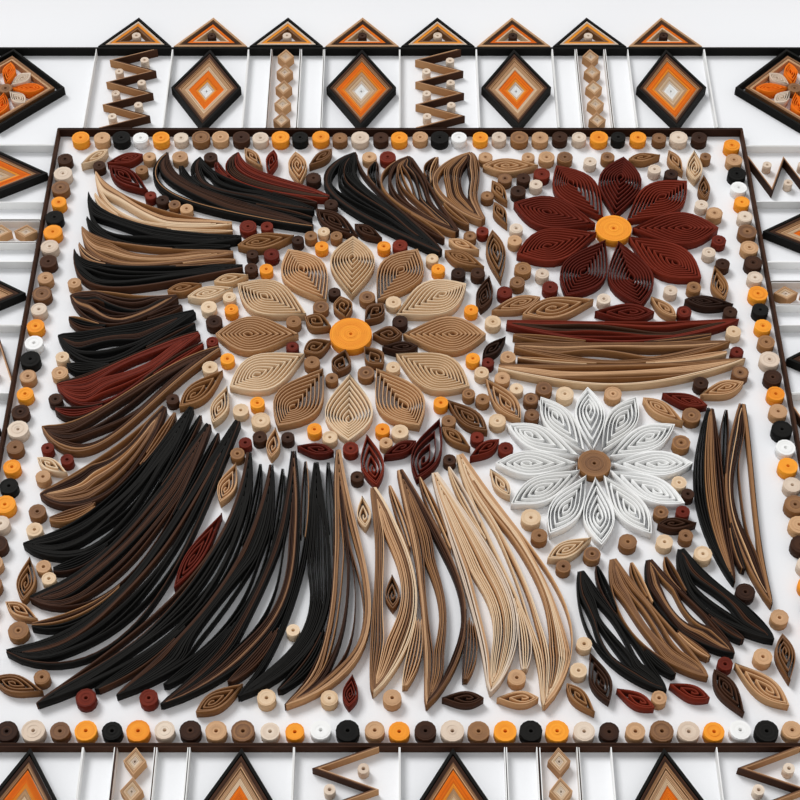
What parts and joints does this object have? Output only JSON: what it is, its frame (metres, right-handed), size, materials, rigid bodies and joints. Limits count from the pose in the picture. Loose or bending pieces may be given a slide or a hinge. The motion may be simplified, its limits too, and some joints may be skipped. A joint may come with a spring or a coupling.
{
  "type": "framed quilled paper art",
  "caption": "Square wooden tray frame around a white board with quilled paper flowers, swept leaves and a geometric border of coils and lozenges, strips stood on edge.",
  "frame": {"origin": "middle of the frame's back face, which is its lowest face as it lies on its back", "axes": "+Z out of the art towards the viewer, +Y towards the art's top edge, +X to its right"},
  "size_m": [0.638, 0.638, 0.035],
  "materials": {
    "amber_paper": "matte, laid fibre",
    "beige_paper": "matte, laid fibre",
    "black_paper": "matte, laid fibre",
    "brown_paper": "matte, laid fibre",
    "cream_paper": "matte, laid fibre",
    "dark_brown_paper": "matte, laid fibre",
    "frame_wood": "satin walnut stain",
    "hardboard": "matte pressed fibre",
    "mount_board": "matte, smooth",
    "orange_paper": "matte, laid fibre",
    "rust_paper": "matte, laid fibre",
    "steel": "plain",
    "tan_paper": "matte, laid fibre",
    "white_paper": "matte, laid fibre"
  },
  "bodies": {
    "root": {"amber_beads": "amber_paper", "art_board": "mount_board", "backing_board": "hardboard", "black_beads": "black_paper", "black_lozenges": "black_paper", "black_teeth": "black_paper", "bottom_beige_leaves": "beige_paper", "bottom_brown_leaves": "brown_paper", "bottom_tan_leaves": "tan_paper", "brown_accent_coils": "brown_paper", "brown_beads": "brown_paper", "corner_inlays": "brown_paper", "corner_outlines": "black_paper", "cream_beads": "cream_paper", "dark_brown_accent_coils": "dark_brown_paper", "dark_brown_lozenges": "dark_brown_paper", "framing_points": "steel", "inner_lines": "dark_brown_paper", "ladder_diamonds": "tan_paper", "ladder_sides": "white_paper", "large_flower_beads": "amber_paper", "large_flower_beige_petals": "beige_paper", "large_flower_centre": "amber_paper", "large_flower_inner_petals": "brown_paper", "large_flower_tan_petals": "tan_paper", "left_black_leaves": "black_paper", "left_brown_leaves": "brown_paper", "left_dark_brown_leaves": "dark_brown_paper", "left_rust_leaves": "rust_paper", "lower_left_black_leaves": "black_paper", "lower_left_brown_leaves": "brown_paper", "lower_left_dark_brown_leaves": "dark_brown_paper", "lower_right_black_leaves": "black_paper", "lower_right_brown_leaves": "brown_paper", "lower_right_dark_brown_leaves": "dark_brown_paper", "orange_lozenge_cores": "orange_paper", "outer_lines": "black_paper", "rail_bottom": "frame_wood", "rail_left": "frame_wood", "rail_right": "frame_wood", "rail_top": "frame_wood", "right_brown_leaves": "brown_paper", "right_dark_brown_leaves": "dark_brown_paper", "right_rust_leaves": "rust_paper", "right_tan_leaves": "tan_paper", "rust_accent_coils": "rust_paper", "rust_flower_beads": "cream_paper", "rust_flower_centre": "amber_paper", "rust_flower_petals": "rust_paper", "tan_accent_coils": "tan_paper", "tan_teeth": "tan_paper", "top_black_leaves": "black_paper", "top_brown_leaves": "brown_paper", "top_dark_brown_leaves": "dark_brown_paper", "top_rust_leaves": "rust_paper", "top_tan_leaves": "tan_paper", "white_flower_centre": "brown_paper", "white_flower_petals": "white_paper", "zigzags": "brown_paper"}
  },
  "joints": []
}
